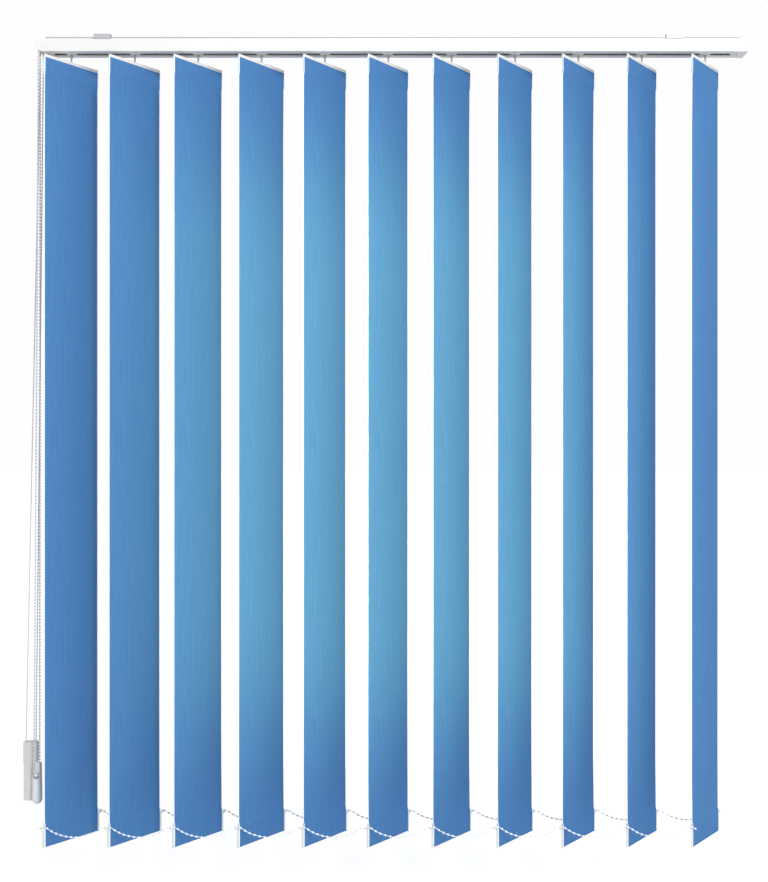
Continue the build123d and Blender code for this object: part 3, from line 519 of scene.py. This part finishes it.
def bottom_chain(name, side):
    """A bead chain on one side of the row: side is -1 in front and 1 at the back."""
    turn = Matrix.Rotation(rest_turn, 3, "Z")
    clip = turn @ Vector((side * clip_reach, 0, 0))
    pitch = louvre_pitch / mm
    start = pivots[0] / mm + clip.x
    end = start + (louvre_count - 1) * pitch
    points = [(start - tail_reach, clip.y, clip_level - tail_drop)]
    for louvre in range(louvre_count):
        x = start + louvre * pitch
        points.append((x, clip.y, clip_level + clip_lift))
        if louvre < louvre_count - 1:
            points += [(x + share * pitch, clip.y, clip_level - chain_bow * depth)
                       for share, depth in bow_shape]
    points.append((end + tail_reach, clip.y, clip_level - tail_drop))
    route, path = new_route(name + "_route", points, resolution=10)
    chain = mesh_from_tree(name + "_beads", chain_tree, {
        "Route": route, "Bead Pitch": bottom_pitch, "Bead Radius": chain_bead / 2,
        "Thread Radius": chain_thread / 2, "Material": finishes["bead_plastic"]})
    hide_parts(name)
    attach(chain, name + "_body")
    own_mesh(chain)
    bpy.data.objects.remove(route)
    print(name + ":", round(run_length(path), 3), "m")


bottom_chain("front_chain", -1)
bottom_chain("back_chain", 1)

# %% [markdown]
# ## Draw cord
# The draw cord starts at the last runner, runs along the rail, turns down over a guide pulley,
# round the pulley in its weight, up again over the second guide pulley and along the rail to the
# return pulley, and ends at the last runner too. The tree sweeps a circle along the route and
# keeps how far along and around the cord each point is, for the braid to follow.

# %% Cord tree
def braided_cord_tree():
    tree, given, finish = new_tree("braided_cord", {
        "Route": "Object", "Cord Radius": "Float", "Sides": "Int", "Material": "Material"})
    route = add_node(tree, "GeometryNodeObjectInfo", links={"Object": given["Route"]})
    along = add_node(tree, "GeometryNodeSplineParameter")
    marked = add_node(tree, "GeometryNodeStoreNamedAttribute",
                      {"data_type": "FLOAT", "domain": "POINT", "Name": "run"},
                      {"Geometry": route.outputs["Geometry"], "Value": along.outputs["Length"]})
    ring = add_node(tree, "GeometryNodeCurvePrimitiveCircle",
                    links={"Resolution": given["Sides"], "Radius": given["Cord Radius"]})
    around = add_node(tree, "GeometryNodeStoreNamedAttribute",
                      {"data_type": "FLOAT", "domain": "POINT", "Name": "turn"},
                      {"Geometry": ring.outputs["Curve"], "Value": along.outputs["Factor"]})
    sleeve = add_node(tree, "GeometryNodeCurveToMesh",
                      links={"Curve": marked.outputs["Geometry"],
                             "Profile Curve": around.outputs["Geometry"]})
    sleeve.inputs["Fill Caps"].default_value = True
    run = add_node(tree, "GeometryNodeInputNamedAttribute", {"Name": "run"})
    turn = add_node(tree, "GeometryNodeInputNamedAttribute", {"Name": "turn"})
    both = add_node(tree, "ShaderNodeCombineXYZ",
                    links={"X": run.outputs["Attribute"], "Y": turn.outputs["Attribute"]})
    mapped = add_node(tree, "GeometryNodeStoreNamedAttribute",
                      {"data_type": "FLOAT2", "domain": "CORNER", "Name": "UVMap"},
                      {"Geometry": sleeve.outputs["Mesh"], "Value": both.outputs["Vector"]})
    finish([mapped.outputs["Geometry"]])
    return tree


# %% Draw cord
cord_thickness = 2.0 * mm
draw_route, draw_path = new_route("draw_cord_route", [
    (571, 10.2, -22.2), (-612, 10.2, -22.2), (-628.5, 10.2, -22.2), (-628.7, 10.2, -38),
    (-642.6, 12, -1283), (-642.7, 12, -1305), (-661.1, 12, -1305), (-661, 12, -1283),
    (-633.9, 10.2, -29), (-633.6, 10.2, -13), (-618, 10.2, -13), (635.4, 10.2, -13),
    (644.6, 10.2, -13), (644.6, 10.2, -22.2), (635.4, 10.2, -22.2), (579, 10.2, -22.2)])
draw_cord = mesh_from_tree("draw_cord_braid", braided_cord_tree(), {
    "Route": draw_route, "Cord Radius": cord_thickness / 2, "Sides": 8,
    "Material": finishes["cord_polyester"]})
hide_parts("draw_cord")
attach(draw_cord, "headrail_assembly")
print("draw cord:", round(run_length(draw_path), 3), "m")
for route in (control_route, draw_route):
    bpy.data.objects.remove(route)

# %% [markdown]
# ## The louvres
# A louvre is one strip of woven cloth. At the top it is doubled over the hanger's tongue, and at
# the bottom it turns under and comes up again behind the weight. The strip is drawn first from
# the side, as a line of points through the middle of the cloth, and the tree then lays a flat
# grid of cloth along that line. The pockets hold the cloth flat, and between them it takes a
# slight bow across its width, as stiffened cloth does when it has come off a roll.

# %% Side view of the cloth
pocket_play = 0.15 * mm
tongue_half, tongue_height = 0.8 * mm, 24 * mm
weight_half, weight_height = 1.2 * mm, 35.5 * mm
seam_depth, taper = 2 * mm, 8 * mm
cloth_top = louvre_high.z
cloth_fold = louvre_low.z
top_layer = tongue_half + pocket_play + cloth_thickness / 2
bottom_layer = weight_half + pocket_play + cloth_thickness / 2
top_seam = cloth_top - tongue_height - seam_depth
bottom_seam = cloth_fold + cloth_thickness + weight_height + 2 * pocket_play + seam_depth
layers_apart = 1.02 * cloth_thickness
fold_rise = 1.0 * mm
fall_rows = 44
seam_shape = ((0.2, 0.1), (0.5, 0.5), (0.8, 0.9))
fold_shape = ((0.25, 0.45), (0.7, 0.25))


def pocket_side(offset, start, seam, end_offset, end):
    """Points down or up one side of a pocket and through its seam to where the layers meet."""
    line = [(offset, start), (offset, (start + seam) / 2), (offset, seam)]
    line += [(offset + (end_offset - offset) * ease, seam + (end - seam) * share)
             for share, ease in seam_shape]
    return line + [(end_offset, end)]


def side_view():
    """The middle line of the cloth as (across its thickness, height), and the top's back layer."""
    top_end, bottom_end = top_seam - taper, bottom_seam + taper
    main = pocket_side(-top_layer, cloth_top, top_seam, 0.0, top_end)
    fall = top_end - bottom_end
    main += [(0.0, top_end - fall * row / fall_rows) for row in range(1, fall_rows)]
    main += pocket_side(-bottom_layer, cloth_fold + fold_rise, bottom_seam, 0.0, bottom_end)[::-1]
    main += [(-bottom_layer + inward * mm, cloth_fold + up * mm) for inward, up in fold_shape]
    main += [(bottom_layer - inward * mm, cloth_fold + up * mm) for inward, up in fold_shape[::-1]]
    main += pocket_side(bottom_layer, cloth_fold + fold_rise, bottom_seam,
                        layers_apart, bottom_end)
    back = pocket_side(top_layer, cloth_top, top_seam, layers_apart, top_end)
    return main, back


def section_curve(name, line):
    """A straight-run curve through the points of a side view."""
    curve = bpy.data.curves.new(name, "CURVE")
    curve.dimensions = "3D"
    spline = curve.splines.new("POLY")
    spline.points.add(len(line) - 1)
    for point, (out, height) in zip(spline.points, line):
        point.co = (0.0, out, height, 1.0)
    section = bpy.data.objects.new(name, curve)
    bpy.context.scene.collection.objects.link(section)
    section.hide_render = True
    return section, run_length(line)


main_line, back_line = side_view()
main_section, main_length = section_curve("cloth_section", main_line)
back_section, back_length = section_curve("top_layer_section", back_line)


# %% [markdown]
# ## Laying the cloth
# The grid has one row for each point of the side view. Each vertex looks up the point of its
# row, takes its height and its place across the thickness, and keeps its own place across the
# width. The bow is added between the pockets, with a small curl at the sealed edges and a lean
# that differs from louvre to louvre. Then the sheet is given its thickness: it is pushed back by
# half, extruded by the whole, and closed by the sheet it came from.

# %% Cloth tree
def cloth_tree():
    tree, given, finish = new_tree("louvre_cloth", {
        "Side View": "Object", "Top Layer": "Object", "Width": "Float", "Columns": "Int",
        "Thickness": "Float", "Bow": "Float", "Bow Top": "Float", "Bow Bottom": "Float",
        "Bow Fade": "Float", "Curl": "Float", "Lean": "Float", "Turn": "Float", "Place": "Float",
        "Material": "Material"})

    def math(operation, first, second=0.0):
        node = add_node(tree, "ShaderNodeMath", {"operation": operation})
        for socket, value in ((0, first), (1, second)):
            if isinstance(value, bpy.types.NodeSocket):
                tree.links.new(value, node.inputs[socket])
            else:
                node.inputs[socket].default_value = value
        return node.outputs["Value"]

    def laid(side_view):
        curve = add_node(tree, "GeometryNodeObjectInfo", links={"Object": side_view})
        count = add_node(tree, "GeometryNodeAttributeDomainSize", {"component": "CURVE"},
                         {"Geometry": curve.outputs["Geometry"]})
        grid = add_node(tree, "GeometryNodeMeshGrid", {"Size Y": 1.0},
                        {"Size X": given["Width"], "Vertices X": given["Columns"],
                         "Vertices Y": count.outputs["Point Count"]})
        index = add_node(tree, "GeometryNodeInputIndex")
        row = math("FLOORED_MODULO", index.outputs["Index"], count.outputs["Point Count"])
        middle_line = add_node(tree, "GeometryNodeInputPosition")
        seen = add_node(tree, "GeometryNodeSampleIndex",
                        {"data_type": "FLOAT_VECTOR", "domain": "POINT"},
                        {"Geometry": curve.outputs["Geometry"], "Index": row,
                         "Value": middle_line.outputs["Position"]})
        length = add_node(tree, "GeometryNodeSplineParameter")
        down = add_node(tree, "GeometryNodeSampleIndex", {"data_type": "FLOAT", "domain": "POINT"},
                        {"Geometry": curve.outputs["Geometry"], "Index": row,
                         "Value": length.outputs["Factor"]})
        point = add_node(tree, "ShaderNodeSeparateXYZ", links={"Vector": seen.outputs["Value"]})
        place = add_node(tree, "GeometryNodeInputPosition")
        across = add_node(tree, "ShaderNodeSeparateXYZ",
                          links={"Vector": place.outputs["Position"]})
        share = math("DIVIDE", across.outputs["X"], given["Width"])
        uv = add_node(tree, "ShaderNodeCombineXYZ",
                      links={"X": math("ADD", share, 0.5), "Y": down.outputs["Value"]})
        mapped = add_node(tree, "GeometryNodeStoreNamedAttribute",
                          {"data_type": "FLOAT2", "domain": "CORNER", "Name": "UVMap"},
                          {"Geometry": grid.outputs["Mesh"], "Value": uv.outputs["Vector"]})
        height = point.outputs["Z"]
        fades = []
        for edge, sign in (("Bow Top", -1.0), ("Bow Bottom", 1.0)):
            far = math("ADD", given[edge], math("MULTIPLY", given["Bow Fade"], sign))
            fades.append(add_node(tree, "ShaderNodeMapRange", {"interpolation_type": "SMOOTHSTEP"},
                                  {"Value": height, "From Min": given[edge], "From Max": far}))
        fade = math("MULTIPLY", fades[0].outputs["Result"], fades[1].outputs["Result"])
        depth = math("MULTIPLY", given["Bow"], fade)
        flat = math("MULTIPLY", math("MULTIPLY", share, share), 4.0)
        bulge = math("MULTIPLY", depth, math("SUBTRACT", 1.0, flat))
        drawn = math("POWER", math("DIVIDE", depth, given["Width"]), 2.0)
        narrow = math("SUBTRACT", 1.0, math("MULTIPLY", drawn, 8 / 3))
        lean = math("MULTIPLY", math("MULTIPLY", given["Lean"], fade), share)
        rolled = math("MULTIPLY", math("POWER", flat, 4.0), math("MULTIPLY", given["Curl"], fade))
        sent = add_node(tree, "ShaderNodeCombineXYZ",
                        links={"X": math("MULTIPLY", across.outputs["X"], narrow),
                               "Y": math("ADD", math("SUBTRACT", point.outputs["Y"], bulge),
                                         math("ADD", lean, rolled)),
                               "Z": height})
        return add_node(tree, "GeometryNodeSetPosition",
                        links={"Geometry": mapped.outputs["Geometry"],
                               "Position": sent.outputs["Vector"]}).outputs["Geometry"]

    sheets = add_node(tree, "GeometryNodeJoinGeometry")
    for side_view in (given["Side View"], given["Top Layer"]):
        tree.links.new(laid(side_view), sheets.inputs["Geometry"])
    normal = add_node(tree, "GeometryNodeInputNormal")
    half_back = add_node(tree, "ShaderNodeVectorMath", {"operation": "SCALE"},
                         {"Vector": normal.outputs["Normal"],
                          "Scale": math("MULTIPLY", given["Thickness"], -0.5)})
    pushed = add_node(tree, "GeometryNodeSetPosition",
                      links={"Geometry": sheets.outputs["Geometry"],
                             "Offset": half_back.outputs["Vector"]})
    raised = add_node(tree, "GeometryNodeExtrudeMesh", {"mode": "FACES", "Individual": False},
                      {"Mesh": pushed.outputs["Geometry"], "Offset Scale": given["Thickness"]})
    under = add_node(tree, "GeometryNodeFlipFaces", links={"Mesh": pushed.outputs["Geometry"]})
    shell = add_node(tree, "GeometryNodeJoinGeometry")
    tree.links.new(raised.outputs["Mesh"], shell.inputs["Geometry"])
    tree.links.new(under.outputs["Mesh"], shell.inputs["Geometry"])
    closed = add_node(tree, "GeometryNodeMergeByDistance", {"Distance": 0.01 * mm},
                      {"Geometry": shell.outputs["Geometry"]})
    turned = add_node(tree, "ShaderNodeCombineXYZ", links={"Z": given["Turn"]})
    moved = add_node(tree, "ShaderNodeCombineXYZ", links={"X": given["Place"]})
    hung = add_node(tree, "GeometryNodeTransform",
                    links={"Geometry": closed.outputs["Geometry"],
                           "Rotation": turned.outputs["Vector"],
                           "Translation": moved.outputs["Vector"]})
    finish([hung.outputs["Geometry"]])
    return tree


# %% Eleven louvres
louvre_tree = cloth_tree()
least_bow, most_bow = 5.0, 6.0
bow_fade = 110 * mm
edge_curl = 1.0 * mm
most_lean = 1.0
chance = random.Random(7)
for number, (name, pivot) in enumerate(zip(names, pivots)):
    louvre = mesh_from_tree("louvre_cloth_" + name, louvre_tree, {
        "Side View": main_section, "Top Layer": back_section, "Width": louvre_width,
        "Columns": 25, "Thickness": cloth_thickness,
        "Bow": chance.uniform(least_bow, most_bow) * mm, "Bow Top": top_seam,
        "Bow Bottom": bottom_seam, "Bow Fade": bow_fade, "Curl": edge_curl,
        "Lean": chance.uniform(-most_lean, most_lean) * mm, "Turn": rest_turn, "Place": pivot,
        "Material": finishes["louvre_fabric"]})
    louvre.data.set_sharp_from_angle(angle=radians(40))
    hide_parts("louvre_" + name)
    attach(louvre, "vane_" + name)
for section in (main_section, back_section):
    bpy.data.objects.remove(section)
print("louvres:", louvre_count, "of", len(louvre.data.polygons), "faces each")

# %% [markdown]
# ## Floor, light and camera
# A large pale floor lies under the blind and the sky is an even white, like a studio cove. Both
# look white but light the blind only about half as strongly, so that the rail has a shaded
# underside and the soft light in front, high and to the right, can shape the bowed cloth. The
# floor is clear from below, where it would hide the blind. A second light, narrow and slightly
# yellow, puts the glow of daylight on the middle louvres and leaves the outer ones as they are.
# The camera is level, at the height of the middle of the blind.

# %% Floor
floor_drop = 0.12
floor_glow = 0.5
floor_level = louvre_low.z - floor_drop
floor_reach = 60.0
corners = ((-1, -1), (1, -1), (1, 1), (-1, 1))
floor_mesh = bpy.data.meshes.new("floor")
floor_mesh.from_pydata(
    [(x * floor_reach, y * floor_reach, floor_level) for x, y in corners], [], [(0, 1, 2, 3)])
floor = bpy.data.objects.new("floor", floor_mesh)
bpy.context.scene.collection.objects.link(floor)
pale, pale_tree, pale_shader = new_material("matt_white_board", "#FBFBFB", roughness=0.9)
pale_shader.inputs["Emission Color"].default_value = colour("#FFFFFF")
eye = add_node(pale_tree, "ShaderNodeLightPath")
lift = add_node(pale_tree, "ShaderNodeMath", {"operation": "MULTIPLY", 1: floor_glow},
                {0: eye.outputs["Is Camera Ray"]})
pale_tree.links.new(lift.outputs["Value"], pale_shader.inputs["Emission Strength"])
side = add_node(pale_tree, "ShaderNodeNewGeometry")
clear = add_node(pale_tree, "ShaderNodeBsdfTransparent")
one_sided = add_node(pale_tree, "ShaderNodeMixShader", links={
    "Fac": side.outputs["Backfacing"], 1: pale_shader.outputs["BSDF"], 2: clear.outputs["BSDF"]})
pale_tree.links.new(one_sided.outputs["Shader"],
                    pale_tree.nodes["Material Output"].inputs["Surface"])
floor.data.materials.append(pale)


# %% Lights
def soft_light(name, place, target, width, height, power, spread=180, tint="#FFFFFF"):
    """A rectangular light at a place, turned to face a target, with the angle it spreads over."""
    light = bpy.data.lights.new(name, "AREA")
    light.shape = "RECTANGLE"
    light.size, light.size_y = width, height
    light.energy = power
    light.spread = radians(spread)
    light.color = colour(tint)[:3]
    lamp = bpy.data.objects.new(name, light)
    lamp.location = place
    lamp.rotation_euler = (Vector(target) - Vector(place)).to_track_quat("-Z", "Y").to_euler()
    lamp.visible_camera = False
    bpy.context.scene.collection.objects.link(lamp)


middle = Vector((0.0, 0.0, (cloth_top + cloth_fold) / 2))
glow = middle + Vector((0.0, 0.0, 0.02))
sky_light = 0.6
soft_light("front_light", (1.3, -4.2, 1.5), middle, 1.4, 1.4, 190)
soft_light("daylight", glow + Vector((0.75, -2.1, 0.0)), glow, 0.74, 1.0, 2.15, 12, "#F8FF9E")
world = bpy.data.worlds.new("studio_white")
world.use_nodes = True
sky = world.node_tree
seen = add_node(sky, "ShaderNodeLightPath")
strength = add_node(sky, "ShaderNodeMapRange", {"To Min": sky_light, "To Max": 1.0},
                    {"Value": seen.outputs["Is Camera Ray"]})
sky.nodes["Background"].inputs["Color"].default_value = colour("#FEFEFE")
sky.links.new(strength.outputs["Result"], sky.nodes["Background"].inputs["Strength"])
bpy.context.scene.world = world
bpy.context.scene.view_settings.view_transform = "Standard"

# %% Camera
camera = bpy.data.cameras.new("camera")
camera.lens = 53.29
camera.shift_y = 0.0159
viewer = bpy.data.objects.new("camera", camera)
viewer.location = (-0.0079, -2.3696, -0.7579)
viewer.rotation_euler = (radians(90), 0, 0)
bpy.context.scene.collection.objects.link(viewer)
bpy.context.scene.camera = viewer
